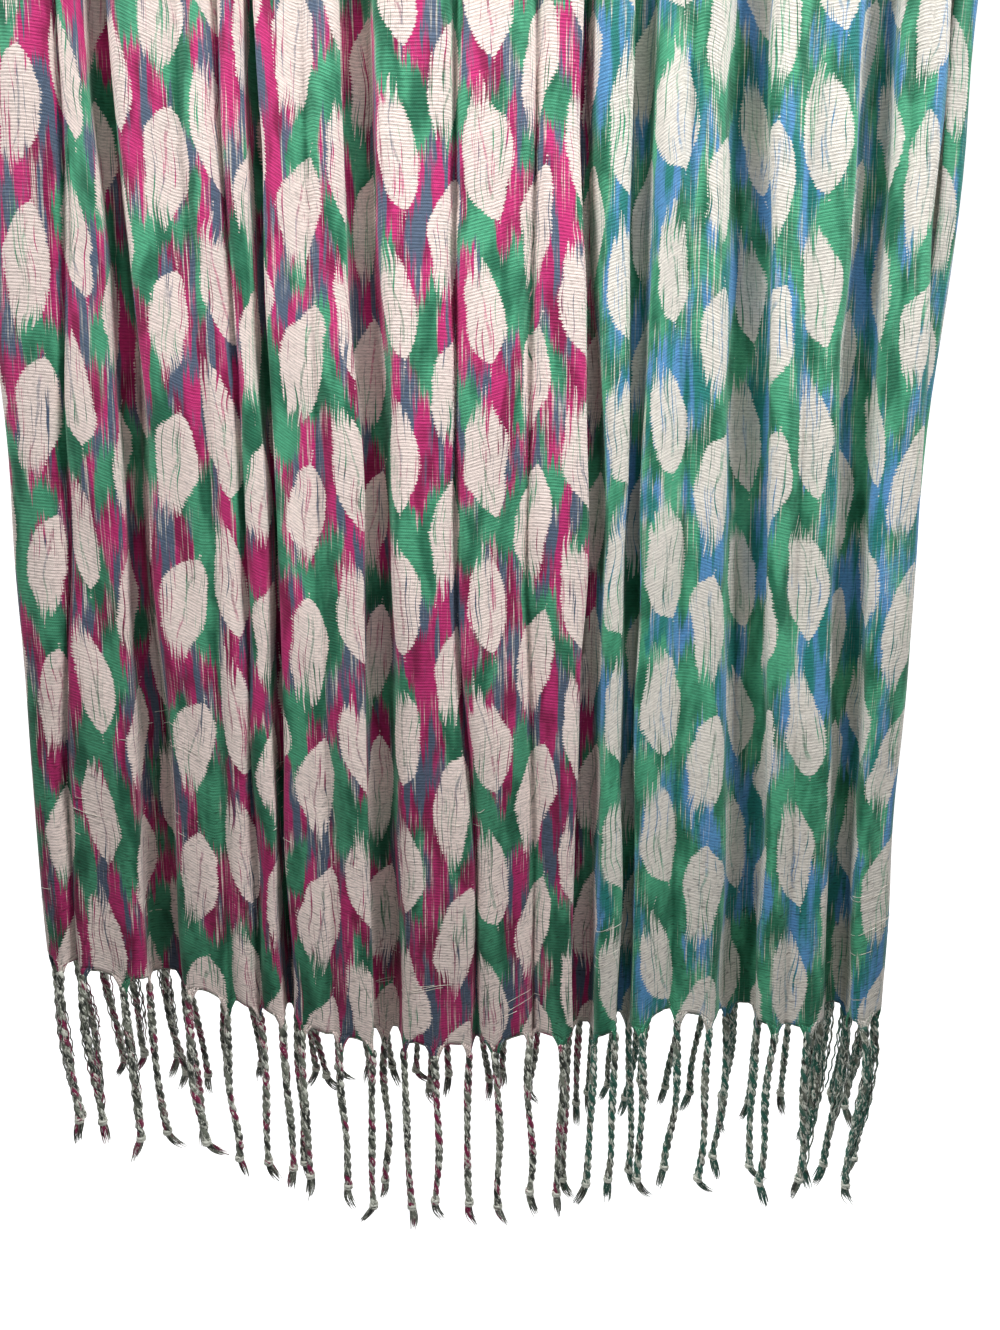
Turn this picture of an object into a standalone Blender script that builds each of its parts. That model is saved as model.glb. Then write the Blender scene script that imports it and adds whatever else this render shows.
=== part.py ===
"""Fringed scarf: one long woven panel, gathered in lengthwise folds and hung folded in half.

Metres, +Z up. The front fall faces -Y. The origin is the inside top of the fold-over, where the
scarf bears on whatever it hangs from. The tables below are in millimetres, as a maker would note
them, and MM turns them into metres.
"""
import math
import random
from collections import namedtuple

import bmesh
import bpy
from mathutils import Vector

MM = 0.001

# Driving sizes
CLOTH_WIDTH = 0.700
FRINGE_LENGTH = 0.100
TASSELS_PER_END = 36
WALL = 0.0014
SEAM_GAP = 0.0003
HANG_RADIUS = 0.010
FOLD_OVER_DROP = 0.014
FRONT_DROP = 0.814
BACK_DROP = 0.790
CREST = 24.0
TOP_SPREAD = 0.12

# Drops below the fold-over at which the fold table gives its columns
LOW_DROP = 0.735
MID_DROP = 0.570
TOP_DROP = 0.360

# Grid rows of each stretch of cloth
FRONT_ROWS = 12
BACK_ROWS = 11
BEND_ROWS = 6

# Fringe
STRIP_HEIGHT = 0.0026
STRIP_WALL = 0.0012
TASSEL_RADIUS = 0.0021
TASSEL_POINTS = 7
TASSEL_SHIFT = 0.10
TASSEL_DRAW_IN = 0.07
TASSEL_LEAN = 3.5
TASSEL_SPREAD = 4.0
TASSEL_BEND = 2.0
TASSEL_WAVE = 1.2
FRONT_SEED = 19
BACK_SEED = 20

# One row for each fold, from the left edge to the right one. The x columns place the middle of its
# floor, front hem to back hem. wide is the width of its mouth, deep its depth as a share of CREST,
# lean is how far its left wall hangs over its floor (the right wall where it is below zero), and
# lift is how much shorter than FRONT_DROP or BACK_DROP the cloth hangs there.
Fold = namedtuple(
    "Fold",
    "name x_front_low x_front_mid x_front_top x_back_top x_back_mid x_back_low "
    "wide_low wide_mid wide_top wide_back deep_front deep_back lean lift_front lift_back",
)
FOLDS = [
    Fold("left_crease", -196, -186, -178, -190, -193, -186, 8, 9, 8, 9, 0.40, 0.40, 0, 44, 26),
    Fold("left_deep", -153, -154, -159, -160, -166, -157, 20, 14, 13, 18, 1.00, 0.90, 2, 34, 24),
    Fold("one_dimple", -119, -119, -125, -128, -130, -129, 8, 8, 8, 9, 0.18, 0.25, 0, 24, 22),
    Fold("one_crease", -105, -104, -108, -108, -106, -109, 7, 6, 6, 8, 0.36, 0.30, 0, 20, 21),
    Fold("two_narrow", -91, -91, -93, -88, -84, -86, 7, 7, 7, 9, 1.00, 1.00, 0, 16, 20),
    Fold("two_dimple", -67, -68, -70, -62, -58, -54, 9, 9, 9, 9, 0.20, 0.30, 0, 6, 18),
    Fold("three_deep", -42, -42, -47, -36, -30, -23, 17, 16, 16, 18, 1.00, 0.90, 3, 1, 16),
    Fold("three_crease", 4, -5, -4, 0, 6, 10, 6, 6, 6, 8, 0.42, 0.50, 0, 0, 14),
    Fold("four_crease", 33, 29, 32, 32, 31, 36, 8, 8, 8, 9, 0.30, 0.25, 0, 8, 12),
    Fold("four_narrow", 58, 61, 55, 61, 56, 62, 13, 10, 8, 10, 1.00, 1.00, 1, 6, 10),
    Fold("five_narrow", 79, 79, 80, 86, 83, 89, 8, 8, 12, 10, 1.00, 0.80, -1, 10, 8),
    Fold("five_dimple", 102, 102, 101, 112, 113, 113, 9, 9, 9, 9, 0.22, 0.25, 0, 18, 6),
    Fold("five_deep", 137, 133, 127, 146, 142, 140, 21, 22, 20, 18, 1.00, 1.00, -3, 14, 3),
    Fold("six_dimple", 160, 156, 153, 175, 167, 163, 8, 8, 8, 9, 0.18, 0.25, 0, 12, 1),
    Fold("six_deep", 186, 182, 183, 208, 195, 190, 15, 19, 17, 16, 1.00, 1.00, -2, 14, 0),
]

# The cloth's two outermost lines, in the same columns
Edge = namedtuple(
    "Edge",
    "name x_front_low x_front_mid x_front_top x_back_top x_back_mid x_back_low lift_front lift_back",
)
LEFT_EDGE = Edge("left", -213, -215, -213, -226, -223, -216, 46, 27)
RIGHT_EDGE = Edge("right", 211, 214, 213, 240, 228, 220, 18, 0)

# How an edge curls in behind the outermost ridge: inwards from the outline, and out from the floor
EDGE_CURL = [(13.0, 1.5), (1.0, 9.0), (4.0, 21.0)]


def eased(value):
    """Zero slope at 0 and at 1."""
    return value * value * (3 - 2 * value)


def along(path, stops):
    """Read the value at a signed drop (below zero on the front) from (drop, value) stops."""
    if path <= stops[0][0]:
        return stops[0][1]
    for (start, low), (end, high) in zip(stops, stops[1:]):
        if path <= end:
            return low + (high - low) * eased((path - start) / (end - start))
    return stops[-1][1]


def x_at(row, path):
    """The x of a fold or an edge at a signed drop. The cloth spreads a little wider over the top."""
    spread = 1 + TOP_SPREAD * eased(max(0.0, 1 - abs(path) / TOP_DROP))
    return spread * along(path, [
        (-LOW_DROP, row.x_front_low), (-MID_DROP, row.x_front_mid), (-TOP_DROP, row.x_front_top),
        (TOP_DROP, row.x_back_top), (MID_DROP, row.x_back_mid), (LOW_DROP, row.x_back_low),
    ])


def width_at(fold, path):
    return along(path, [
        (-LOW_DROP, fold.wide_low), (-MID_DROP, fold.wide_mid), (-TOP_DROP, fold.wide_top),
        (TOP_DROP, fold.wide_back),
    ])


def depth_at(fold, path):
    return along(path, [(-TOP_DROP, fold.deep_front), (TOP_DROP, fold.deep_back)])


def fold_points(fold, path):
    """A fold's own points across the cloth, as (x, out from the floor, lift front, lift back)."""
    x = x_at(fold, path)
    half = width_at(fold, path) / 2
    floor = CREST * (1 - depth_at(fold, path))
    lifts = (fold.lift_front, fold.lift_back)
    if fold.deep_front < 0.6:
        return [(x - half, CREST, *lifts), (x, floor, *lifts), (x + half, CREST, *lifts)]
    over_left, over_right = max(fold.lean, 0), max(-fold.lean, 0)
    return [
        (x - half + over_left * 0.6 - over_right, CREST, *lifts),
        (x - half * 0.7 - over_left + over_right * 0.8, floor, *lifts),
        (x + half * 0.7 + over_right - over_left * 0.8, floor, *lifts),
        (x + half - over_right * 0.6 + over_left, CREST, *lifts),
    ]


def edge_points(edge, path, inwards):
    x = x_at(edge, path)
    points = [(x + inwards * step, out, edge.lift_front, edge.lift_back) for step, out in EDGE_CURL]
    return points if inwards > 0 else points[::-1]


def crown(before, after):
    """The top of a broad ridge between two folds, a little proud of its sides."""
    middle = [(a + b) / 2 for a, b in zip(before, after)]
    middle[1] += 1.5
    return tuple(middle)


def section(path):
    """The control points across the cloth at a signed drop, from left to right."""
    points = edge_points(LEFT_EDGE, path, 1)
    for place, fold in enumerate(FOLDS):
        own = fold_points(fold, path)
        if place:
            points.append(crown(points[-1], own[0]))
        points += own
    return points + edge_points(RIGHT_EDGE, path, -1)


def smooth_point(points, place):
    """A point at place (a whole number is a control point) on the smooth curve through points."""
    index = min(int(place), len(points) - 2)
    share = place - index
    p1, p2 = points[index], points[index + 1]
    p0 = points[index - 1] if index else p1
    p3 = points[index + 2] if index + 2 < len(points) else p2
    gaps = [max(math.dist(a[:2], b[:2]), 0.01) ** 0.5 for a, b in ((p0, p1), (p1, p2), (p2, p3))]
    result = []
    for a, b, c, d in zip(p0, p1, p2, p3):
        leave = (b - a) / gaps[0] - (c - a) / (gaps[0] + gaps[1]) + (c - b) / gaps[1]
        arrive = (c - b) / gaps[1] - (d - b) / (gaps[1] + gaps[2]) + (d - c) / gaps[2]
        leave, arrive = leave * gaps[1], arrive * gaps[1]
        bend = 2 * b - 2 * c + leave + arrive
        turn = -3 * b + 3 * c - 2 * leave - arrive
        result.append(((bend * share + turn) * share + leave) * share + b)
    return tuple(result)


def scaled(points, scale):
    return [(x, out * scale, *lifts) for x, out, *lifts in points]


def curve_length(points, steps=3):
    count = (len(points) - 1) * steps
    line = [smooth_point(points, step / steps) for step in range(count + 1)]
    return sum(math.dist(a[:2], b[:2]) for a, b in zip(line, line[1:]))


def fitted_section(path):
    """The section whose folds are just deep enough to take up the whole width of the cloth."""
    points = section(path)
    low, high = 0.4, 1.6
    for _ in range(14):
        middle = (low + high) / 2
        if curve_length(scaled(points, middle)) * MM < CLOTH_WIDTH:
            low = middle
        else:
            high = middle
    return scaled(points, (low + high) / 2)


def on_front(point, share):
    """A point of the front fall: share runs from 0 at the fold-over to 1 at the hem."""
    x, out, lift, _ = point
    drop = FOLD_OVER_DROP + share * (FRONT_DROP - lift * MM - FOLD_OVER_DROP)
    return Vector((x * MM, -(HANG_RADIUS + WALL / 2 + out * MM), -drop))


def on_back(point, share):
    x, out, _, lift = point
    drop = FOLD_OVER_DROP + share * (BACK_DROP - lift * MM - FOLD_OVER_DROP)
    return Vector((x * MM, HANG_RADIUS + WALL / 2 + out * MM, -drop))


def on_fold_over(point, angle, below):
    """A point over the top: angle is 0 at its middle, and below is the straight way under the bend."""
    x, out = point[0] * MM, HANG_RADIUS + WALL / 2 + point[1] * MM
    return Vector((x, math.sin(angle) * out, math.cos(angle) * out - HANG_RADIUS - below))


def front_rows():
    for step in range(FRONT_ROWS + 1):
        share = step / FRONT_ROWS
        path = -(FOLD_OVER_DROP + share * (FRONT_DROP - FOLD_OVER_DROP))
        yield [on_front(point, share) for point in fitted_section(path)]


def back_rows():
    for step in range(BACK_ROWS + 1):
        share = 1 - step / BACK_ROWS
        path = FOLD_OVER_DROP + share * (BACK_DROP - FOLD_OVER_DROP)
        yield [on_back(point, share) for point in fitted_section(path)]


def fold_over_rows():
    straight = FOLD_OVER_DROP - SEAM_GAP - HANG_RADIUS
    quarter = math.pi / 2
    turns = [(step / BEND_ROWS * 2 - 1) * quarter for step in range(BEND_ROWS + 1)]
    stops = [(-quarter, straight)] + [(angle, 0.0) for angle in turns] + [(quarter, straight)]
    for angle, below in stops:
        path = HANG_RADIUS * angle + math.copysign(below, angle)
        yield [on_fold_over(point, angle, below) for point in fitted_section(path)]


def clear_scene():
    for thing in list(bpy.data.objects):
        bpy.data.objects.remove(thing, do_unlink=True)


def new_collection(name):
    collection = bpy.data.collections.new(name)
    bpy.context.scene.collection.children.link(collection)
    return collection


def new_material(name, colour, roughness):
    material = bpy.data.materials.new(name)
    material.use_nodes = True
    shader = material.node_tree.nodes["Principled BSDF"]
    shader.inputs["Base Color"].default_value = (*colour, 1.0)
    shader.inputs["Roughness"].default_value = roughness
    shader.inputs["Metallic"].default_value = 0.0
    return material


def cloth_wall(name, rows, thickness, material, collection):
    """A grid of points, one list for each row, as a wall of cloth of even thickness."""
    rows = list(rows)
    mesh = bpy.data.meshes.new(name)
    bm = bmesh.new()
    grid = [[bm.verts.new(point) for point in row] for row in rows]
    for upper, lower in zip(grid, grid[1:]):
        for a, b, c, d in zip(upper, upper[1:], lower[1:], lower):
            bm.faces.new((a, b, c, d))
    bmesh.ops.recalc_face_normals(bm, faces=bm.faces)
    bm.to_mesh(mesh)
    bm.free()
    mesh.shade_smooth()
    mesh.materials.append(material)
    wall = bpy.data.objects.new(name, mesh)
    collection.objects.link(wall)
    solidify = wall.modifiers.new("thickness", "SOLIDIFY")
    solidify.thickness = thickness
    solidify.offset = 0.0
    return wall


def hem_section(path):
    """The section at a hem, with the running length across the cloth at each fine step."""
    points = fitted_section(path)
    steps = (len(points) - 1) * 6
    line = [smooth_point(points, step / 6) for step in range(steps + 1)]
    lengths = [0.0]
    for a, b in zip(line, line[1:]):
        lengths.append(lengths[-1] + math.dist(a[:2], b[:2]))
    return line, lengths


def point_across(line, lengths, share):
    """The point of a hem line at a share of its whole length."""
    wanted = share * lengths[-1]
    for index in range(1, len(line)):
        if lengths[index] >= wanted:
            part = (wanted - lengths[index - 1]) / (lengths[index] - lengths[index - 1])
            return tuple(a + (b - a) * part for a, b in zip(line[index - 1], line[index]))
    return line[-1]


def tassel_paths(place, path, outwards, seed):
    """The middle line of each tassel at one hem, drawn in towards the middle, with a lean and a wave."""
    line, lengths = hem_section(path)
    chance = random.Random(seed)
    for number in range(TASSELS_PER_END):
        shift = chance.uniform(-TASSEL_SHIFT, TASSEL_SHIFT)
        root = place(point_across(line, lengths, (number + 0.5 + shift) / TASSELS_PER_END), 1.0)
        lean = chance.uniform(-TASSEL_LEAN, TASSEL_LEAN) * MM - TASSEL_DRAW_IN * root.x
        spread = chance.uniform(0.2, 1.0) * TASSEL_SPREAD * MM * outwards
        bend = chance.uniform(-TASSEL_BEND, TASSEL_BEND) * MM
        wave = chance.uniform(-TASSEL_WAVE, TASSEL_WAVE) * MM
        length = FRINGE_LENGTH * chance.uniform(0.93, 1.0)
        start = SEAM_GAP + STRIP_HEIGHT / 2
        points = []
        for step in range(TASSEL_POINTS):
            share = step / (TASSEL_POINTS - 1)
            sway = lean * share * share + bend * math.sin(share * math.pi)
            sway += wave * math.sin(share * math.tau)
            down = start + share * (length - start)
            points.append(root + Vector((sway, spread * share, -down)))
        yield points


def strip_rows(place, path):
    """The narrow band just below a hem, on the same line as the cloth."""
    points = fitted_section(path)
    for depth in (SEAM_GAP, SEAM_GAP + STRIP_HEIGHT):
        yield [place(point, 1.0) - Vector((0, 0, depth)) for point in points]


def tassel_bundle(name, paths, collection):
    """All the tassels of one hem as one mesh of separate four-sided strands."""
    curve = bpy.data.curves.new(name, "CURVE")
    curve.dimensions = "3D"
    curve.bevel_depth = TASSEL_RADIUS
    curve.bevel_resolution = 0
    curve.use_fill_caps = True
    for points in paths:
        spline = curve.splines.new("POLY")
        spline.points.add(len(points) - 1)
        for target, point in zip(spline.points, points):
            target.co = (*point, 1.0)
        spline.points[-1].radius = 0.6
    drawn = bpy.data.objects.new(name + "_curve", curve)
    collection.objects.link(drawn)
    seen = drawn.evaluated_get(bpy.context.evaluated_depsgraph_get())
    mesh = bpy.data.meshes.new_from_object(seen)
    bm = bmesh.new()
    bm.from_mesh(mesh)
    bmesh.ops.remove_doubles(bm, verts=bm.verts, dist=0.00001)
    bm.to_mesh(mesh)
    bm.free()
    bundle = bpy.data.objects.new(name, mesh)
    bundle.matrix_world = drawn.matrix_world
    collection.objects.link(bundle)
    bpy.data.objects.remove(drawn, do_unlink=True)
    bundle.hide_render = True
    bundle.display_type = "WIRE"
    return bundle


def fringe(name, place, path, outwards, seed, material, collection, cutters):
    """A hem's fringe: its tassels fused at their roots to a narrow strip."""
    strip = cloth_wall(name, strip_rows(place, path), STRIP_WALL, material, collection)
    paths = tassel_paths(place, path, outwards, seed)
    bundle = tassel_bundle(name + "_tassels", paths, cutters)
    join = strip.modifiers.new("tassels", "BOOLEAN")
    join.operation = "UNION"
    join.solver = "EXACT"
    join.object = bundle
    return strip


def main():
    clear_scene()
    scarf = new_collection("fringed_scarf")
    cutters = new_collection("cutters")
    cloth = new_material("printed_cloth", (0.35, 0.42, 0.36), 0.85)
    yarn = new_material("fringe_yarn", (0.30, 0.36, 0.33), 0.80)
    cloth_wall("cloth_front", front_rows(), WALL, cloth, scarf)
    cloth_wall("cloth_fold_over", fold_over_rows(), WALL, cloth, scarf)
    cloth_wall("cloth_back", back_rows(), WALL, cloth, scarf)
    fringe("fringe_front", on_front, -FRONT_DROP, -1, FRONT_SEED, yarn, scarf, cutters)
    fringe("fringe_back", on_back, BACK_DROP, 1, BACK_SEED, yarn, scarf, cutters)


main()
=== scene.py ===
"""Looks of the fringed scarf: one printed woven panel hung folded in half, with twisted tassels.

Metres, +Z up, the front fall faces -Y. In millimetres, which MM turns into metres, are the tables of
folds, creases and waves, CREST, CROWN, the column steps, the tassels' lean, spread, bend and wave, and
the print. The fold table and the sizes are those of the solids, so the cloth lies on them.
"""
import math
import random
from collections import namedtuple

import bpy
import numpy as np
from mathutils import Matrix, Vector


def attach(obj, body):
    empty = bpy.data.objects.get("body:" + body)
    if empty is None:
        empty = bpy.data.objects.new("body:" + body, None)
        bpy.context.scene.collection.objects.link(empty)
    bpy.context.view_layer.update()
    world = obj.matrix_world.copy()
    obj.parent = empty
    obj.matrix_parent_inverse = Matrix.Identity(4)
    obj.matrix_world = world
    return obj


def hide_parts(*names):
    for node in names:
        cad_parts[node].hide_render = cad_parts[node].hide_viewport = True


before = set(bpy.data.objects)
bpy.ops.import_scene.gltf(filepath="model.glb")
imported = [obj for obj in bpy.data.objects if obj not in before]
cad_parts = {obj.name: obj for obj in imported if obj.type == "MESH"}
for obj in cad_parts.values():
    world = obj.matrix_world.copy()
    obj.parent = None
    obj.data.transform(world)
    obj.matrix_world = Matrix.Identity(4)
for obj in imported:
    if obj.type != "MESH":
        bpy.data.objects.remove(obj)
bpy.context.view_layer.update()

MM = 0.001

# Driving sizes, the same as the solids'
CLOTH_WIDTH = 0.700
CLOTH_LENGTH = 1.600
FRINGE_LENGTH = 0.100
TASSELS_PER_END = 36
WALL = 0.0014
HANG_RADIUS = 0.010
FOLD_OVER_DROP = 0.014
FRONT_DROP = 0.814
BACK_DROP = 0.790
CREST = 24.0
CROWN = 1.5
TOP_SPREAD = 0.12
LOW_DROP = 0.735
MID_DROP = 0.570
TOP_DROP = 0.360
TASSEL_SHIFT = 0.10
TASSEL_DRAW_IN = 0.07
TASSEL_LEAN = 3.5
TASSEL_SPREAD = 4.0
TASSEL_BEND = 2.0
TASSEL_WAVE = 1.2
FRONT_SEED = 19
BACK_SEED = 20

# The woven cloth
CLOTH_THICKNESS = 0.0005
COLUMN_STEP = 3.9
PLEAT_COLUMN_STEP = 1.9
HEM_ROW_STEP = 0.0025
CLOSE_ROW_STEP = 0.0052
PLAIN_ROW_STEP = 0.017
CLOSE_FROM_DROP = 0.300
HEM_BAND = 0.028
BEND_STEPS = 12

# The hem rises in an arch between tassels and is drawn together at each of them
ARCH_RISE = 0.0046
ARCH_SEED = 7
ROOT_DROP = 0.0015
PINCH = 0.45
PINCH_REACH = 0.0045

Fold = namedtuple(
    "Fold",
    "name x_front_low x_front_mid x_front_top x_back_top x_back_mid x_back_low "
    "wide_low wide_mid wide_top wide_back deep_front deep_back lean lift_front lift_back",
)
FOLDS = [
    Fold("left_crease", -196, -186, -178, -190, -193, -186, 8, 9, 8, 9, 0.40, 0.40, 0, 44, 26),
    Fold("left_deep", -153, -154, -159, -160, -166, -157, 20, 14, 13, 18, 1.00, 0.90, 2, 34, 24),
    Fold("one_dimple", -119, -119, -125, -128, -130, -129, 8, 8, 8, 9, 0.18, 0.25, 0, 24, 22),
    Fold("one_crease", -105, -104, -108, -108, -106, -109, 7, 6, 6, 8, 0.36, 0.30, 0, 20, 21),
    Fold("two_narrow", -91, -91, -93, -88, -84, -86, 7, 7, 7, 9, 1.00, 1.00, 0, 16, 20),
    Fold("two_dimple", -67, -68, -70, -62, -58, -54, 9, 9, 9, 9, 0.20, 0.30, 0, 6, 18),
    Fold("three_deep", -42, -42, -47, -36, -30, -23, 17, 16, 16, 18, 1.00, 0.90, 3, 1, 16),
    Fold("three_crease", 4, -5, -4, 0, 6, 10, 6, 6, 6, 8, 0.42, 0.50, 0, 0, 14),
    Fold("four_crease", 33, 29, 32, 32, 31, 36, 8, 8, 8, 9, 0.30, 0.25, 0, 8, 12),
    Fold("four_narrow", 58, 61, 55, 61, 56, 62, 13, 10, 8, 10, 1.00, 1.00, 1, 6, 10),
    Fold("five_narrow", 79, 79, 80, 86, 83, 89, 8, 8, 12, 10, 1.00, 0.80, -1, 10, 8),
    Fold("five_dimple", 102, 102, 101, 112, 113, 113, 9, 9, 9, 9, 0.22, 0.25, 0, 18, 6),
    Fold("five_deep", 137, 133, 127, 146, 142, 140, 21, 22, 20, 18, 1.00, 1.00, -3, 14, 3),
    Fold("six_dimple", 160, 156, 153, 175, 167, 163, 8, 8, 8, 9, 0.18, 0.25, 0, 12, 1),
    Fold("six_deep", 186, 182, 183, 208, 195, 190, 15, 19, 17, 16, 1.00, 1.00, -2, 14, 0),
]
Edge = namedtuple(
    "Edge",
    "name x_front_low x_front_mid x_front_top x_back_top x_back_mid x_back_low lift_front lift_back",
)
LEFT_EDGE = Edge("left", -213, -215, -213, -226, -223, -216, 46, 27)
RIGHT_EDGE = Edge("right", 211, 214, 213, 240, 228, 220, 18, 0)
EDGE_CURL = [(13.0, 1.5), (1.0, 9.0), (4.0, 21.0)]

# Soft creases, placed on the flat cloth: across from its left edge, and up from its front hem,
# over the top (at 800) and down to its back hem (at 1600). wide is half the width of the trough.
Crease = namedtuple("Crease", "across_a up_a across_b up_b wide deep")
CREASES = [Crease(*row) for row in (
    (16, 470, 24, 300, 4.5, 1.6), (71, 520, 66, 330, 5.0, 1.8),
    (62, 262, 74, 118, 5.5, 1.6), (120, 480, 128, 330, 4.5, 1.2),
    (137, 300, 130, 88, 5.0, 1.7), (186, 470, 181, 300, 3.8, 1.3),
    (219, 425, 229, 212, 5.0, 1.6), (233, 200, 225, 46, 6.0, 1.4),
    (256, 505, 262, 342, 4.5, 1.6), (307, 480, 317, 250, 5.5, 2.0),
    (327, 232, 318, 64, 6.5, 1.5), (299, 142, 307, 22, 4.5, 1.3),
    (351, 500, 361, 352, 4.5, 1.4), (367, 300, 361, 128, 5.0, 1.7),
    (403, 462, 397, 300, 4.5, 1.5), (409, 212, 400, 42, 5.5, 1.7),
    (445, 520, 452, 332, 4.5, 1.4), (456, 262, 448, 108, 5.0, 1.6),
    (491, 470, 500, 310, 5.5, 1.7), (507, 241, 498, 75, 5.0, 1.4),
    (529, 420, 521, 250, 4.0, 1.2), (579, 502, 588, 300, 4.5, 1.6),
    (591, 232, 583, 55, 5.5, 1.8), (617, 460, 610, 288, 4.0, 1.2),
    (669, 480, 661, 258, 5.0, 1.7), (677, 202, 669, 50, 5.0, 1.4),
    (148, 365, 174, 298, 4.0, 1.2), (329, 428, 356, 381, 4.0, 1.2),
    (432, 146, 404, 98, 4.5, 1.2), (585, 156, 612, 120, 4.5, 1.2),
    (226, 132, 250, 96, 4.5, 1.1), (504, 372, 526, 330, 4.0, 1.1),
    (60, 744, 70, 560, 5.5, 1.6), (222, 760, 214, 580, 5.0, 1.5),
    (352, 730, 360, 548, 5.5, 1.6), (498, 752, 490, 560, 5.0, 1.6),
    (606, 740, 614, 575, 4.5, 1.4), (318, 690, 328, 560, 4.5, 1.3),
    (72, 880, 64, 1080, 5.5, 1.7), (128, 900, 138, 1150, 5.0, 1.5),
    (230, 862, 222, 1040, 5.0, 1.6), (258, 1100, 266, 1320, 5.0, 1.5),
    (318, 880, 328, 1130, 6.0, 1.9), (326, 1190, 318, 1420, 5.5, 1.6),
    (392, 900, 386, 1090, 4.5, 1.3), (446, 1010, 440, 1260, 5.0, 1.6),
    (488, 870, 496, 1060, 5.5, 1.5), (496, 1230, 490, 1450, 5.5, 1.7),
    (578, 900, 586, 1120, 5.0, 1.6), (584, 1240, 576, 1480, 5.0, 1.5),
    (668, 960, 660, 1210, 5.5, 1.7), (62, 1260, 70, 1500, 5.0, 1.5),
    (136, 1300, 128, 1490, 4.5, 1.3), (228, 1380, 238, 1560, 5.5, 1.4),
    (150, 1120, 176, 1166, 4.0, 1.1), (398, 1330, 372, 1374, 4.5, 1.2),
    # Narrow pleats in the ridge at the right edge
    (666, 620, 665, 230, 1.8, 1.8), (673, 580, 672, 300, 1.7, 1.5),
)]

# Soft rises along one side of the deep valleys' floors, so that no floor is flat
RISES = [Crease(*row) for row in (
    (104, 600, 106, 320, 5.0, 3.0), (107, 350, 105, 50, 5.0, 3.5),
    (272, 560, 275, 330, 5.0, 3.2), (276, 330, 275, 50, 5.0, 3.0),
    (426, 560, 431, 340, 4.5, 2.8), (432, 320, 428, 60, 4.5, 2.5),
    (478, 560, 478, 310, 4.0, 2.4), (194, 330, 193, 110, 4.0, 2.0),
    (544, 590, 549, 320, 5.5, 3.6), (550, 350, 555, 60, 5.5, 3.4),
    (631, 590, 630, 340, 5.0, 3.2), (631, 340, 635, 70, 5.0, 3.0),
    (103, 1040, 99, 1330, 5.0, 3.0), (289, 1060, 294, 1360, 5.0, 3.0),
    (421, 1060, 424, 1340, 4.5, 2.6), (541, 1040, 546, 1330, 5.5, 3.4),
    (631, 1060, 630, 1350, 5.0, 3.0), (207, 1180, 205, 1440, 4.0, 2.0),
)]

# Slow unevenness of the whole cloth: waves as (length across it, length along it, start, height)
BILLOWS = [(39, 170, 0.4, 0.40), (63, -240, 1.7, 0.45), (27, 95, 2.9, 0.22), (110, 130, 4.1, 0.50)]

# Camera of the photograph: a phone held half a metre off, looking a little down
CAMERA_PLACE = (0.016, -0.4954, -0.5475)
CAMERA_TILT = 8.6
CAMERA_LENS = 27.07
SENSOR_WIDTH = 36.0

# Soft lights above the photo's frame. They aim high, so that the light falls off towards the hem.
AreaLight = namedtuple("AreaLight", "name place target size power")
AREA_LIGHTS = [
    AreaLight("left_box", (-0.85, -0.62, 0.45), (0.05, 0.0, -0.34), (0.45, 0.5), 1.64),
    AreaLight("right_box", (0.90, -0.62, 0.45), (0.05, 0.0, -0.34), (0.45, 0.5), 1.70),
    AreaLight("front_box", (0.22, -0.60, 0.75), (0.14, 0.0, -0.24), (0.4, 0.4), 0.45),
    AreaLight("back_box", (-0.60, 1.10, 0.50), (0.0, 0.0, -0.45), (0.5, 0.5), 1.5),
]
LIGHT_SPREAD = 42.0
WORLD_LIGHT = 0.14
STAGE_GLOW = 0.85


def eased(value):
    """Zero slope at 0 and at 1."""
    return value * value * (3 - 2 * value)


def along(path, stops):
    """Read the value at a signed drop (below zero on the front) from (drop, value) stops."""
    if path <= stops[0][0]:
        return stops[0][1]
    for (start, low), (end, high) in zip(stops, stops[1:]):
        if path <= end:
            return low + (high - low) * eased((path - start) / (end - start))
    return stops[-1][1]


def x_at(row, path):
    """The x of a fold or an edge at a signed drop. The cloth spreads a little wider over the top."""
    spread = 1 + TOP_SPREAD * eased(max(0.0, 1 - abs(path) / TOP_DROP))
    return spread * along(path, [
        (-LOW_DROP, row.x_front_low), (-MID_DROP, row.x_front_mid), (-TOP_DROP, row.x_front_top),
        (TOP_DROP, row.x_back_top), (MID_DROP, row.x_back_mid), (LOW_DROP, row.x_back_low),
    ])


def width_at(fold, path):
    return along(path, [
        (-LOW_DROP, fold.wide_low), (-MID_DROP, fold.wide_mid), (-TOP_DROP, fold.wide_top),
        (TOP_DROP, fold.wide_back),
    ])


def depth_at(fold, path):
    return along(path, [(-TOP_DROP, fold.deep_front), (TOP_DROP, fold.deep_back)])


def fold_points(fold, path):
    """A fold's own points across the cloth, as (x, out from the floor, lift front, lift back)."""
    x = x_at(fold, path)
    half = width_at(fold, path) / 2
    floor = CREST * (1 - depth_at(fold, path))
    lifts = (fold.lift_front, fold.lift_back)
    if fold.deep_front < 0.6:
        return [(x - half, CREST, *lifts), (x, floor, *lifts), (x + half, CREST, *lifts)]
    over_left, over_right = max(fold.lean, 0), max(-fold.lean, 0)
    return [
        (x - half + over_left * 0.6 - over_right, CREST, *lifts),
        (x - half * 0.7 - over_left + over_right * 0.8, floor, *lifts),
        (x + half * 0.7 + over_right - over_left * 0.8, floor, *lifts),
        (x + half - over_right * 0.6 + over_left, CREST, *lifts),
    ]


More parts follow.
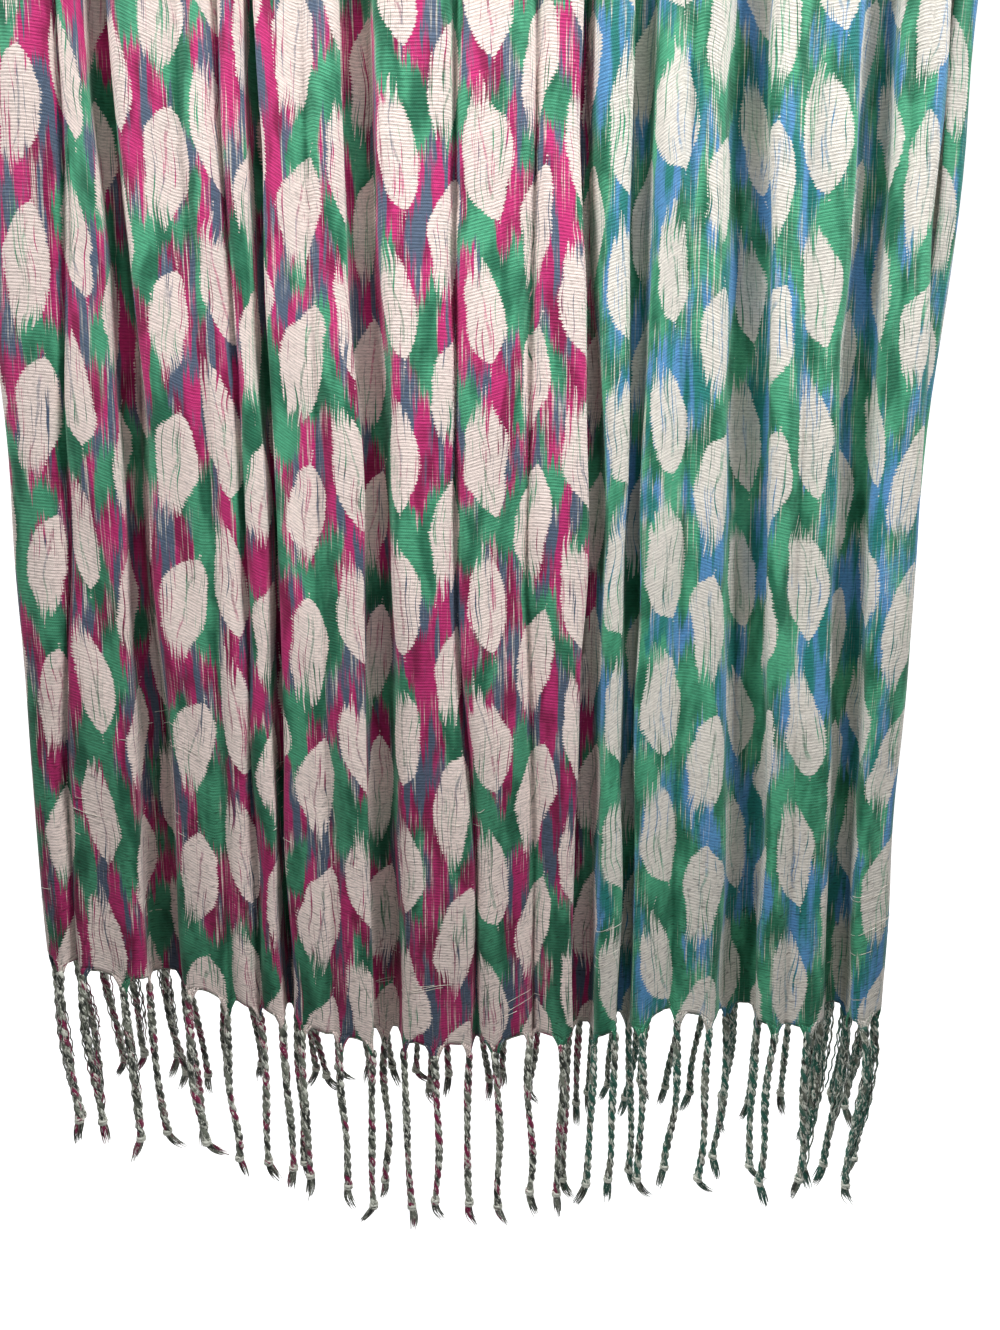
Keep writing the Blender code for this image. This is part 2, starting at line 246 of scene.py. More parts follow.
def edge_points(edge, path, inwards):
    x = x_at(edge, path)
    points = [(x + inwards * step, out, edge.lift_front, edge.lift_back) for step, out in EDGE_CURL]
    return points if inwards > 0 else points[::-1]


def crown(before, after):
    """The top of a broad ridge between two folds, a little proud of its sides."""
    middle = [(a + b) / 2 for a, b in zip(before, after)]
    middle[1] += CROWN
    return tuple(middle)


def section(path):
    """The control points across the cloth at a signed drop, from left to right."""
    points = edge_points(LEFT_EDGE, path, 1)
    for place, fold in enumerate(FOLDS):
        own = fold_points(fold, path)
        if place:
            points.append(crown(points[-1], own[0]))
        points += own
    return np.array(points + edge_points(RIGHT_EDGE, path, -1), float)


def smooth_line(points, places):
    """Points at places (whole numbers are control points) on the smooth curve through points."""
    index = np.minimum(places.astype(int), len(points) - 2)
    share = (places - index)[:, None]
    p0 = points[np.maximum(index - 1, 0)]
    p1, p2 = points[index], points[index + 1]
    p3 = points[np.minimum(index + 2, len(points) - 1)]
    g0, g1, g2 = (
        np.maximum(np.linalg.norm((b - a)[:, :2], axis=1), 0.01)[:, None] ** 0.5
        for a, b in ((p0, p1), (p1, p2), (p2, p3))
    )
    leave = ((p1 - p0) / g0 - (p2 - p0) / (g0 + g1) + (p2 - p1) / g1) * g1
    arrive = ((p2 - p1) / g1 - (p3 - p1) / (g1 + g2) + (p3 - p2) / g2) * g1
    bend = 2 * p1 - 2 * p2 + leave + arrive
    turn = -3 * p1 + 3 * p2 - 2 * leave - arrive
    return ((bend * share + turn) * share + leave) * share + p1


def running_length(line, axes=2):
    """The way run along a line up to each of its points, over its first two or three axes."""
    steps = np.linalg.norm(np.diff(line[:, :axes], axis=0), axis=1)
    return np.concatenate([[0.0], np.cumsum(steps)])


def fitted_section(path):
    """The section whose folds are just deep enough to take up the whole width of the cloth."""
    points = section(path)
    places = np.arange((len(points) - 1) * 3 + 1) / 3
    low, high = 0.4, 1.6
    for _ in range(14):
        middle = (low + high) / 2
        trial = points * (1, middle, 1, 1)
        if running_length(smooth_line(trial, places))[-1] * MM < CLOTH_WIDTH:
            low = middle
        else:
            high = middle
    return points * (1, (low + high) / 2, 1, 1)


Tassel = namedtuple("Tassel", "across lean spread bend wave length")


def tassels(seed):
    """The tassels of one hem, in the same order of chances as the solids."""
    chance = random.Random(seed)
    for number in range(TASSELS_PER_END):
        shift = chance.uniform(-TASSEL_SHIFT, TASSEL_SHIFT)
        yield Tassel(
            across=(number + 0.5 + shift) / TASSELS_PER_END * CLOTH_WIDTH,
            lean=chance.uniform(-TASSEL_LEAN, TASSEL_LEAN) * MM,
            spread=chance.uniform(0.2, 1.0) * TASSEL_SPREAD * MM,
            bend=chance.uniform(-TASSEL_BEND, TASSEL_BEND) * MM,
            wave=chance.uniform(-TASSEL_WAVE, TASSEL_WAVE) * MM,
            length=FRINGE_LENGTH * chance.uniform(0.93, 1.0),
        )


FRONT_TASSELS = list(tassels(FRONT_SEED))
BACK_TASSELS = list(tassels(BACK_SEED))


def root_places(path, row):
    """The places, between the control points, of one hem's tassels."""
    points = fitted_section(path)
    places = np.arange((len(points) - 1) * 8 + 1) / 8
    length = running_length(smooth_line(points, places))
    return np.interp([tassel.across for tassel in row], length / length[-1] * CLOTH_WIDTH, places)


def column_places():
    """Where the grid's columns lie between the control points, the same on every row.

    Each tassel has a column at its root, so that the hem can come to a point there. The ridge at the
    right edge has closer columns for its pleats.
    """
    points = fitted_section(-MID_DROP)
    spans = np.linalg.norm(np.diff(points[:, :2], axis=0), axis=1)
    roots = np.concatenate([
        root_places(-FRONT_DROP, FRONT_TASSELS), root_places(BACK_DROP, BACK_TASSELS),
    ])
    places = [0.0]
    for index, span in enumerate(spans):
        step_width = PLEAT_COLUMN_STEP if index == len(spans) - 3 else COLUMN_STEP
        count = max(2, round(span / step_width))
        near = 0.3 / count
        for step in range(1, count + 1):
            place = index + step / count
            if step == count or np.min(np.abs(roots - place)) > near:
                places.append(place)
    merged = np.sort(np.concatenate([places, roots]))
    keep = np.concatenate([[True], np.diff(merged) > 0.02])
    return merged[keep]


def steps_between(start, end, step):
    """Evenly spaced values from start up to, but without, end."""
    count = max(1, round((end - start) / step))
    return [start + (end - start) * number / count for number in range(count)]


def grid_stops():
    """(stretch, drop or angle) for each row of the grid, from the front hem over to the back one."""
    front_drops = steps_between(FOLD_OVER_DROP, CLOSE_FROM_DROP, PLAIN_ROW_STEP)
    front_drops += steps_between(CLOSE_FROM_DROP, FRONT_DROP - HEM_BAND, CLOSE_ROW_STEP)
    front_drops += steps_between(FRONT_DROP - HEM_BAND, FRONT_DROP, HEM_ROW_STEP) + [FRONT_DROP]
    back_drops = steps_between(FOLD_OVER_DROP, BACK_DROP - HEM_BAND, PLAIN_ROW_STEP)
    back_drops += steps_between(BACK_DROP - HEM_BAND, BACK_DROP, 2 * HEM_ROW_STEP) + [BACK_DROP]
    stops = [("front", drop) for drop in reversed(front_drops)]
    stops += [("over", (step / BEND_STEPS * 2 - 1) * math.pi / 2) for step in range(BEND_STEPS + 1)]
    stops += [("back", drop) for drop in back_drops]
    return stops


def cloth_grid():
    """The cloth as arrays: points, and the running lengths across and along it, in metres."""
    places = column_places()
    rows, across, alongs = [], [], []
    base = HANG_RADIUS + WALL / 2
    for stretch, stop in grid_stops():
        if stretch == "front":
            line = smooth_line(fitted_section(-stop), places)
            share = (stop - FOLD_OVER_DROP) / (FRONT_DROP - FOLD_OVER_DROP)
            hang = FRONT_DROP - line[:, 2] * MM
            z = -(FOLD_OVER_DROP + share * (hang - FOLD_OVER_DROP))
            y = -(base + line[:, 1] * MM)
            run = hang + z
        elif stretch == "back":
            line = smooth_line(fitted_section(stop), places)
            share = (stop - FOLD_OVER_DROP) / (BACK_DROP - FOLD_OVER_DROP)
            hang = BACK_DROP - line[:, 3] * MM
            z = -(FOLD_OVER_DROP + share * (hang - FOLD_OVER_DROP))
            y = base + line[:, 1] * MM
            run = FRONT_DROP - line[:, 2] * MM + HANG_RADIUS * (math.pi - 2) - z
        else:
            line = smooth_line(fitted_section(HANG_RADIUS * stop), places)
            out = base + line[:, 1] * MM
            z = np.cos(stop) * out - HANG_RADIUS
            y = np.sin(stop) * out
            run = FRONT_DROP - line[:, 2] * MM - HANG_RADIUS + HANG_RADIUS * (stop + math.pi / 2)
        rows.append(np.stack([line[:, 0] * MM, y, z], axis=1))
        length = running_length(line)
        across.append(length / length[-1] * CLOTH_WIDTH)
        alongs.append(run)
    return np.array(rows), np.array(across), share_out_top(np.array(rows), np.array(alongs))


def share_out_top(grid, alongs):
    """Spread the extra way that ridges take over the top, so that the print isn't drawn out there."""
    drops = -grid[:, :, 2].max(axis=1)
    top = np.flatnonzero(drops < CLOSE_FROM_DROP)
    first, last = top[0], top[-1]
    steps = np.linalg.norm(np.diff(grid[first:last + 1], axis=0), axis=2)
    run = np.concatenate([np.zeros((1, grid.shape[1])), np.cumsum(steps, axis=0)])
    span = alongs[last] - alongs[first]
    alongs[first:last + 1] = alongs[first] + run / run[-1] * span
    return alongs


def outward_normals(grid):
    """The cloth's outward direction at each point of the grid."""
    normal = np.cross(np.gradient(grid, axis=1), np.gradient(grid, axis=0))
    return normal / np.maximum(np.linalg.norm(normal, axis=2, keepdims=True), 1e-9)


def crease_depth(crease, across, up):
    """How deep one crease is at each point, deepest at its middle and gone at its ends."""
    run = (crease.across_b - crease.across_a, crease.up_b - crease.up_a)
    square = run[0] ** 2 + run[1] ** 2
    away = (across - crease.across_a, up - crease.up_a)
    share = (away[0] * run[0] + away[1] * run[1]) / square
    aside = (away[0] * run[1] - away[1] * run[0]) / math.sqrt(square)
    taper = np.sin(np.clip(share, 0, 1) * math.pi) ** 0.8
    return crease.deep * np.exp(-(aside / crease.wide) ** 2) * taper


def crease_cloth(grid, across, alongs):
    """Press the creases in, lift the rises and add the slow unevenness."""
    u, v = across / MM, alongs / MM
    push = np.zeros(u.shape)
    for crease in CREASES:
        push -= crease_depth(crease, u, v)
    for rise in RISES:
        push += crease_depth(rise, u, v)
    for over, along_it, start, height in BILLOWS:
        push += height * np.sin(math.tau * (u / over + v / along_it) + start)
    grid += outward_normals(grid) * push[:, :, None] * MM


def on_hem(hem, across, place):
    """The point or points of a hem at a place, or at places, across the cloth."""
    return np.stack([np.interp(place, across, hem[:, axis]) for axis in range(3)], axis=-1)


def shape_hem(grid, across, row, step, hem_tassels):
    """Draw one hem up between its tassels and together at each of them.

    row is the hem's own row in the grid, and step leads from it into the cloth.
    """
    roots = np.array([tassel.across for tassel in hem_tassels])
    pitch = CLOTH_WIDTH / TASSELS_PER_END
    ends = np.concatenate([[roots[0] - pitch], roots, [roots[-1] + pitch]])
    hem = grid[row].copy()
    right = np.clip(np.searchsorted(ends, across[row]), 1, len(ends) - 1)
    share = (across[row] - ends[right - 1]) / (ends[right] - ends[right - 1])
    uneven = np.random.default_rng(ARCH_SEED).uniform(0.5, 1.35, len(ends))[right]
    rise = ARCH_RISE * uneven * (1 - (2 * np.clip(share, 0, 1) - 1) ** 2) - ROOT_DROP
    nearest = np.where(share < 0.5, ends[right - 1], ends[right])
    target = on_hem(hem, across[row], nearest)
    reach = np.exp(-((across[row] - nearest) / PINCH_REACH) ** 2) * PINCH
    index = row
    while abs(grid[index, 0, 2] - hem[0, 2]) < HEM_BAND:
        height = abs(grid[index, 0, 2] - hem[0, 2])
        fade = (1 - height / HEM_BAND) ** 2
        grid[index, :, 2] += rise * fade
        grid[index, :, :2] += (target - hem)[:, :2] * (reach * fade ** 2)[:, None]
        index += step


def mesh_from_arrays(name, points, faces, uvs):
    """A smooth mesh. uvs has one pair for each point: its running lengths, in metres."""
    mesh = bpy.data.meshes.new(name)
    mesh.from_pydata(points.tolist(), [], faces)
    layer = mesh.uv_layers.new(name="length")
    corners = np.empty(len(mesh.loops), int)
    mesh.loops.foreach_get("vertex_index", corners)
    layer.data.foreach_set("uv", uvs[corners].astype(np.float32).ravel())
    mesh.shade_smooth()
    mesh.update()
    return mesh


def add_object(name, mesh):
    piece = bpy.data.objects.new(name, mesh)
    bpy.context.scene.collection.objects.link(piece)
    return piece


def grid_faces(rows, columns):
    corner = np.arange((rows - 1) * columns).reshape(rows - 1, columns)[:, :-1].ravel()
    return np.stack([corner, corner + 1, corner + columns + 1, corner + columns], axis=1)


def make_cloth(grid, across, alongs, materials):
    rows, columns = grid.shape[:2]
    uvs = np.stack([across.ravel(), alongs.ravel()], axis=1)
    faces = grid_faces(rows, columns).tolist()
    mesh = mesh_from_arrays("scarf_cloth", grid.reshape(-1, 3), faces, uvs)
    for material in materials:
        mesh.materials.append(material)
    cloth = add_object("scarf_cloth", mesh)
    solidify = cloth.modifiers.new("thickness", "SOLIDIFY")
    solidify.thickness = CLOTH_THICKNESS
    solidify.offset = 0.0
    solidify.material_offset = 1
    solidify.material_offset_rim = 0
    return cloth


BUMP_DEPTH = 0.0004


class Sheet:
    """Short names for building a material's nodes. Most calls return an output socket."""

    def __init__(self, name):
        self.material = bpy.data.materials.new(name)
        self.material.use_nodes = True
        self.tree = self.material.node_tree
        self.shader = self.tree.nodes["Principled BSDF"]

    def add(self, kind, **settings):
        node = self.tree.nodes.new(kind)
        for key, value in settings.items():
            setattr(node, key, value)
        return node

    def put(self, socket, value):
        if hasattr(value, "links"):
            self.tree.links.new(value, socket)
        elif value is not None:
            socket.default_value = value

    def math(self, operation, a, b=None, c=None, clamp=False):
        node = self.add("ShaderNodeMath", operation=operation, use_clamp=clamp)
        for socket, value in zip(node.inputs, (a, b, c)):
            self.put(socket, value)
        return node.outputs[0]

    def ramp(self, value, start, end):
        """0 below start, 1 above end, smooth between."""
        node = self.add("ShaderNodeMapRange", interpolation_type="SMOOTHSTEP")
        self.put(node.inputs["Value"], value)
        self.put(node.inputs["From Min"], start)
        self.put(node.inputs["From Max"], end)
        return node.outputs["Result"]

    def mix(self, share, a, b, blend="MIX"):
        """Colours a and b mixed. A mix node has them at its inputs 6 and 7, and its result at 2."""
        node = self.add("ShaderNodeMix", data_type="RGBA", blend_type=blend)
        self.put(node.inputs["Factor"], share)
        self.put(node.inputs[6], a)
        self.put(node.inputs[7], b)
        return node.outputs[2]

    def place(self, x, y, z=0.0):
        node = self.add("ShaderNodeCombineXYZ")
        for socket, value in zip(node.inputs, (x, y, z)):
            self.put(socket, value)
        return node.outputs[0]

    def noise(self, where, detail, roughness=0.5):
        node = self.add("ShaderNodeTexNoise", noise_dimensions="3D")
        self.put(node.inputs["Vector"], where)
        node.inputs["Scale"].default_value = 1.0
        node.inputs["Detail"].default_value = detail
        node.inputs["Roughness"].default_value = roughness
        return node.outputs["Fac"]

    def grain(self, u, v, fine_u, fine_v, seed, detail, roughness=0.5):
        """Noise as fine across and along as fine_u and fine_v say, per millimetre."""
        where = self.place(self.math("MULTIPLY", u, fine_u), self.math("MULTIPLY", v, fine_v), seed)
        return self.noise(where, detail, roughness)

    def swayed(self, value, noise, reach):
        """value, moved up to half the reach either way by noise that runs from 0 to 1."""
        return self.math("MULTIPLY_ADD", self.math("SUBTRACT", noise, 0.5), reach, value)

    def bump(self, height, strength):
        node = self.add("ShaderNodeBump")
        node.inputs["Strength"].default_value = strength
        node.inputs["Distance"].default_value = BUMP_DEPTH
        self.put(node.inputs["Height"], height)
        self.put(self.shader.inputs["Normal"], node.outputs[0])

    def from_middle(self, value, number, pitch):
        """How far value is from the middle of the column or row of this number."""
        start = self.math("MULTIPLY", number, pitch)
        return self.math("SUBTRACT", self.math("SUBTRACT", value, start), pitch / 2)

    def uv(self):
        """The running lengths across and along the cloth or yarn, in millimetres."""
        node = self.add("ShaderNodeUVMap", uv_map="length")
        split = self.add("ShaderNodeSeparateXYZ")
        self.put(split.inputs[0], node.outputs[0])
        return tuple(self.math("MULTIPLY", metres, 1 / MM) for metres in split.outputs[:2])


def rgb(red, green, blue):
    """A colour from display values, 0 to 255, as the shader wants it."""
    parts = [value / 255 for value in (red, green, blue)]
    return tuple(p / 12.92 if p <= 0.04045 else ((p + 0.055) / 1.055) ** 2.4 for p in parts) + (1.0,)


ECRU = rgb(214, 204, 192)
ROSY_ECRU = rgb(222, 206, 199)
GREY_ECRU = rgb(211, 206, 197)
GREEN = rgb(72, 158, 120)
DEEP_GREEN = rgb(28, 102, 74)
MAGENTA = rgb(192, 42, 112)
DEEP_MAGENTA = rgb(138, 15, 74)
SLATE = rgb(80, 96, 118)
BLUE = rgb(82, 136, 190)
TEAL = rgb(26, 116, 112)
YARN_DARKEST = rgb(38, 43, 37)
YARN_DARK = rgb(120, 125, 112)
# The flecks' colour: partly the yarn's own marl, partly painted glints
YARN_FLECK_AND_GLINT = rgb(216, 218, 206)
YARN_ROSE = rgb(128, 20, 70)
YARN_TEAL = rgb(32, 92, 77)
THREAD_DULL = rgb(176, 168, 152)
THREAD_PALE = rgb(232, 228, 218)

# Painted shade: the rose panel's ground is darkened towards the hems, to this factor, between two
# distances
PAINTED_HEM_SHADE = rgb(214, 214, 214)
HEM_SHADE_START = 430.0
HEM_SHADE_END = 40.0

# The yarn is paler with every metre of running length. A tassel's darker ply starts at 0, its paler ply
# far from there, and its knot farther still, so that the knot is palest, as a painted highlight
PALE_PLY_START = 10.0
KNOT_HIGHLIGHT_START = 20.0
PALER_PER_METRE = 0.008

# The weave
RIB_PITCH = 1.45
WARP_PITCH = 0.85

# The print: leaves in upright columns, pointing up and down in turn, over a brushed ground
PANEL_EDGE = 432.0
SLIT_SLOPE = 0.3
SLITS_END = 210.0
LEAF_COLUMN = 24.5
LEAF_ROW = 66.0
LEAF_HALF_LENGTH = 30.5
LEAF_HALF_WIDTH = 9.6
LEAF_TILT = 8.0


def leaf_print(s, u, v, weave):
    """How much of the leaf colour shows at a place on the cloth. Its edges step from rib to rib."""
    wander = s.grain(u, v, 0.05, 0.03, seed=3.0, detail=1.0)
    u = s.swayed(u, wander, 9.0)
    column = s.math("FLOOR", s.math("DIVIDE", u, LEAF_COLUMN))
    odd = s.math("PINGPONG", column, 1.0)
    p = s.from_middle(u, column, LEAF_COLUMN)
    column_chance = s.add("ShaderNodeTexWhiteNoise", noise_dimensions="1D")
    s.put(column_chance.inputs["W"], column)
    shifted = s.math("MULTIPLY_ADD", odd, LEAF_ROW / 2, v)
    shifted = s.math("MULTIPLY_ADD", column_chance.outputs["Value"], 14.0, shifted)
    row = s.math("FLOOR", s.math("DIVIDE", shifted, LEAF_ROW))
    q = s.from_middle(shifted, row, LEAF_ROW)
    chance = s.add("ShaderNodeTexWhiteNoise", noise_dimensions="2D")
    s.put(chance.inputs["Vector"], s.place(column, row))
    split = s.add("ShaderNodeSeparateXYZ")
    s.put(split.inputs[0], chance.outputs["Color"])
    side = s.math("MULTIPLY_ADD", odd, -2.0, 1.0)
    tilt = s.math("MULTIPLY_ADD", split.outputs[0], 7.0, LEAF_TILT - 3.5)
    angle = s.math("MULTIPLY", s.math("RADIANS", tilt), side)
    cosine, sine = s.math("COSINE", angle), s.math("SINE", angle)
    cross = s.math("ADD", s.math("MULTIPLY", p, cosine), s.math("MULTIPLY", q, sine))
    length = s.math("SUBTRACT", s.math("MULTIPLY", q, cosine), s.math("MULTIPLY", p, sine))
    size = s.math("MULTIPLY_ADD", split.outputs[1], 0.18, 0.88)
    t = s.math("DIVIDE", s.math("MULTIPLY", length, side), s.math("MULTIPLY", size, LEAF_HALF_LENGTH))
    bend = s.math("MULTIPLY_ADD", split.outputs[2], 6.0, -3.0)
    cross = s.math("ADD", cross, s.math("MULTIPLY", s.math("MULTIPLY", t, t), bend))
    sway = s.noise(s.place(split.outputs[2], s.math("MULTIPLY", v, 0.045), 31.0), detail=1.0)
    cross = s.swayed(cross, sway, 5.0)
    rest = s.math("SUBTRACT", 1.0, s.math("MULTIPLY", t, t), clamp=True)
    belly = s.math("MULTIPLY_ADD", t, -0.36, 1.0)
    half = s.math("MULTIPLY", s.math("MULTIPLY", s.math("POWER", rest, 0.85), belly), LEAF_HALF_WIDTH)
    half = s.math("MULTIPLY", half, size)
    ragged = s.grain(u, v, 0.6, 0.5, seed=7.0, detail=3.0, roughness=0.65)
    gap = s.math("SUBTRACT", half, s.math("ABSOLUTE", cross))
    gap = s.swayed(s.swayed(gap, ragged, 2.4), weave, 0.9)
    leaf = s.ramp(gap, -0.15, 0.35)
    bristle = s.grain(u, v, 1.25, 0.025, seed=41.0, detail=2.0, roughness=0.6)
    worn = s.math("MULTIPLY", s.ramp(t, 0.30, 0.95), 0.22)
    bristle = s.ramp(s.math("SUBTRACT", bristle, worn), 0.36, 0.42)
    leaf = s.math("MULTIPLY", leaf, bristle)
    rib_width = s.math("MULTIPLY_ADD", t, -0.32, 0.42)
    rib = s.ramp(s.math("SUBTRACT", rib_width, s.math("ABSOLUTE", cross)), -0.20, 0.20)
    rib = s.math("MULTIPLY", rib, s.ramp(s.math("ABSOLUTE", t), 0.80, 0.60))
    rib = s.math("MULTIPLY", rib, s.ramp(ragged, 0.36, 0.50))
    return s.math("MULTIPLY", leaf, s.math("MULTIPLY_ADD", rib, -0.55, 1.0))


def brushed_ground(s, u, v):
    """The ground: green, with upright patches, rose and slate on one panel, blue on the other. The rose
    panel is darkened towards the hems, as painted shade.
    """
    hair = s.grain(u, v, 0.9, 0.012, seed=1.0, detail=3.0, roughness=0.7)
    pulled = s.swayed(v, hair, 46.0)
    patch = s.grain(u, pulled, 0.052, 0.021, seed=5.0, detail=1.0)
    slate = s.grain(u, pulled, 0.16, 0.024, seed=9.0, detail=2.0)
    tone = s.grain(u, v, 0.10, 0.03, seed=12.0, detail=2.0)
    streak = s.grain(u, v, 1.1, 0.018, seed=15.0, detail=3.0, roughness=0.7)
    greens = s.mix(s.ramp(tone, 0.38, 0.64), GREEN, DEEP_GREEN)
    rose = s.mix(s.ramp(tone, 0.42, 0.62), MAGENTA, DEEP_MAGENTA)
    rose = s.mix(s.ramp(slate, 0.50, 0.57), rose, SLATE)
    left = s.mix(s.ramp(patch, 0.465, 0.49), greens, rose)
    # Painted shade: the rose panel's ground darkens towards each hem.
    from_hem = s.math("PINGPONG", v, CLOTH_LENGTH / MM / 2)
    painted_hem_shade = s.ramp(from_hem, HEM_SHADE_START, HEM_SHADE_END)
    left = s.mix(painted_hem_shade, left, PAINTED_HEM_SHADE, "MULTIPLY")
    blues = s.mix(s.ramp(slate, 0.43, 0.58), BLUE, TEAL)
    blue_share = s.math("MULTIPLY", s.ramp(patch, 0.49, 0.54), 0.9)
    right = s.mix(blue_share, greens, blues)
    edge = s.swayed(u, tone, 5.0)
    ground = s.mix(s.ramp(edge, PANEL_EDGE - 1.0, PANEL_EDGE + 1.5), left, right)
    dry = s.math("MULTIPLY", s.ramp(streak, 0.545, 0.62), s.ramp(patch, 0.43, 0.49))
    dry = s.math("MULTIPLY", dry, s.ramp(patch, 0.62, 0.52))
    return s.mix(s.math("MULTIPLY", dry, 0.85), ground, ECRU)


def weave_height(s, u, v):
    """The crosswise rib of the weave, uneven from yarn to yarn, and the finer lengthwise yarns."""
    slub = s.grain(u, v, 0.03, 1.2, seed=21.0, detail=2.0)
    bent = s.math("MULTIPLY_ADD", slub, 1.6, v)
    weft = s.math("SINE", s.math("MULTIPLY", bent, math.tau / RIB_PITCH))
    warp = s.math("SINE", s.math("MULTIPLY", u, math.tau / WARP_PITCH))
    both = s.math("MULTIPLY_ADD", s.math("MULTIPLY", weft, warp), 0.35, weft)
    return s.math("MULTIPLY_ADD", both, 0.5, 0.5), slub


def opened_weave_shade(s, u, v):
    """Painted shade: short dark slits above the front hem, sloping up to the right, where the weave has
    opened.
    """
    ahead = s.math("MULTIPLY_ADD", v, SLIT_SLOPE, u)
    aside = s.math("MULTIPLY_ADD", u, -SLIT_SLOPE, v)
    slit = s.grain(ahead, aside, 0.21, 1.0, seed=51.0, detail=1.0)
    return s.math("MULTIPLY", s.ramp(slit, 0.63, 0.68), s.ramp(v, SLITS_END, 70.0))


def cloth_material(name, paler):
    """The printed face, or its paler reverse where paler is above 0."""
    s = Sheet(name)
    u, v = s.uv()
    weave, slub = weave_height(s, u, v)
    ground = brushed_ground(s, u, v)
    leaf = leaf_print(s, u, v, weave)
    undyed = s.mix(s.ramp(u, PANEL_EDGE - 15, PANEL_EDGE + 15), ROSY_ECRU, GREY_ECRU)
    colour = s.mix(leaf, ground, undyed)
    if paler:
        colour = s.mix(paler, colour, ECRU)
    dash = s.grain(u, v, 0.42, 1.5, seed=33.0, detail=1.0)
    shade = s.math("MULTIPLY_ADD", weave, 0.24, 0.89)
    dashes, slit_shades = s.ramp(dash, 0.50, 0.64), opened_weave_shade(s, u, v)
    # The slits darken the cloth as painted shade.
    for share, gain, base in ((slub, 0.16, 0.92), (dashes, -0.24, 1.0), (slit_shades, -0.5, 1.0)):
        shade = s.math("MULTIPLY", shade, s.math("MULTIPLY_ADD", share, gain, base))
    grey = s.add("ShaderNodeCombineColor")
    for socket in grey.inputs:
        s.put(socket, shade)
    colour = s.mix(1.0, colour, grey.outputs[0], "MULTIPLY")
    s.put(s.shader.inputs["Base Color"], colour)
    s.put(s.shader.inputs["Roughness"], s.math("MULTIPLY_ADD", weave, -0.12, 0.86))
    s.shader.inputs["Sheen Weight"].default_value = 0.15
    s.shader.inputs["Sheen Roughness"].default_value = 0.5
    s.shader.inputs["Specular IOR Level"].default_value = 0.25
    s.bump(weave, 0.35)
    return s.material


def yarn_material():
    """Twisted fringe yarn: flecked, partly in its own pale marl and partly as painted glints, and dyed
    in stretches where the print ran into it.

    One of the two plies is paler, and the knot is paler still, as a painted highlight: see
    PALE_PLY_START.
    """
    s = Sheet("fringe_yarn")
    u, v = s.uv()
    fleck = s.grain(u, v, 0.9, 0.32, seed=2.0, detail=3.0, roughness=0.6)
    shade = s.grain(u, v, 0.2, 0.07, seed=8.0, detail=1.0)
    dye = s.grain(u, v, 0.07, 0.042, seed=6.0, detail=1.0)
    dark = s.mix(s.ramp(shade, 0.40, 0.60), YARN_DARKEST, YARN_DARK)
    left = s.mix(s.ramp(dye, 0.55, 0.60), dark, YARN_ROSE)
    right = s.mix(s.ramp(dye, 0.40, 0.52), dark, YARN_TEAL)
    colour = s.mix(s.ramp(u, PANEL_EDGE - 4, PANEL_EDGE + 4), left, right)
    fleck = s.math("MULTIPLY_ADD", v, PALER_PER_METRE * MM, fleck)
    # Pale flecks, partly the yarn's own marl and partly painted glints.
    colour = s.mix(s.ramp(fleck, 0.56, 0.62), colour, YARN_FLECK_AND_GLINT)
    s.put(s.shader.inputs["Base Color"], colour)
    s.shader.inputs["Roughness"].default_value = 0.38
    s.shader.inputs["Specular IOR Level"].default_value = 0.6
    s.bump(fleck, 0.5)
    return s.material


def thread_material():
    """Single undyed threads pulled out of the weave."""
    s = Sheet("loose_thread")
    u, v = s.uv()
    fleck = s.grain(u, v, 2.0, 0.3, seed=2.0, detail=2.0)
    colour = s.mix(s.ramp(fleck, 0.35, 0.60), THREAD_DULL, THREAD_PALE)
    s.put(s.shader.inputs["Base Color"], colour)
    s.shader.inputs["Roughness"].default_value = 0.6
    s.shader.inputs["Sheen Weight"].default_value = 0.3
    return s.material


class Yarns:
    """Collects round yarns, each a tube along its own line, into one mesh."""

    def __init__(self):
        self.points, self.faces, self.uvs, self.count = [], [], [], 0

    def add(self, line, radii, sides, across, start=0.0, way=1):
        """across, and start plus or minus the running length, are where the yarn takes its colour."""
        line = np.asarray(line, float)
        radii = np.broadcast_to(np.asarray(radii, float), len(line))
        ahead = np.gradient(line, axis=0)
        ahead /= np.maximum(np.linalg.norm(ahead, axis=1, keepdims=True), 1e-9)
        side = np.cross(ahead, (0.31, 0.95, 0.05))
        side /= np.maximum(np.linalg.norm(side, axis=1, keepdims=True), 1e-9)
        other = np.cross(ahead, side)
        turn = np.arange(sides) * math.tau / sides
        ring = side[:, None] * np.cos(turn)[None, :, None] + other[:, None] * np.sin(turn)[None, :, None]
        points = line[:, None] + ring * radii[:, None, None]
        length = running_length(line, 3)
        around = np.abs(turn - math.pi) * np.mean(radii)
        uv = np.stack([
            across + np.broadcast_to(around, (len(line), sides)),
            start + way * np.repeat(length[:, None], sides, 1),
        ], axis=2)
        for row in range(len(line) - 1):
            for corner in range(sides):
                after = (corner + 1) % sides
                a, b = self.count + row * sides, self.count + (row + 1) * sides
                self.faces.append((a + corner, a + after, b + after, b + corner))
        last = self.count + (len(line) - 1) * sides
        self.faces.append(tuple(self.count + corner for corner in reversed(range(sides))))
        self.faces.append(tuple(last + corner for corner in range(sides)))
        self.points.append(points.reshape(-1, 3))
        self.uvs.append(uv.reshape(-1, 2))
        self.count += len(line) * sides

    def object(self, name, material):
        points, uvs = np.concatenate(self.points), np.concatenate(self.uvs)
        mesh = mesh_from_arrays(name, points, self.faces, uvs)
        mesh.materials.append(material)
        return add_object(name, mesh)


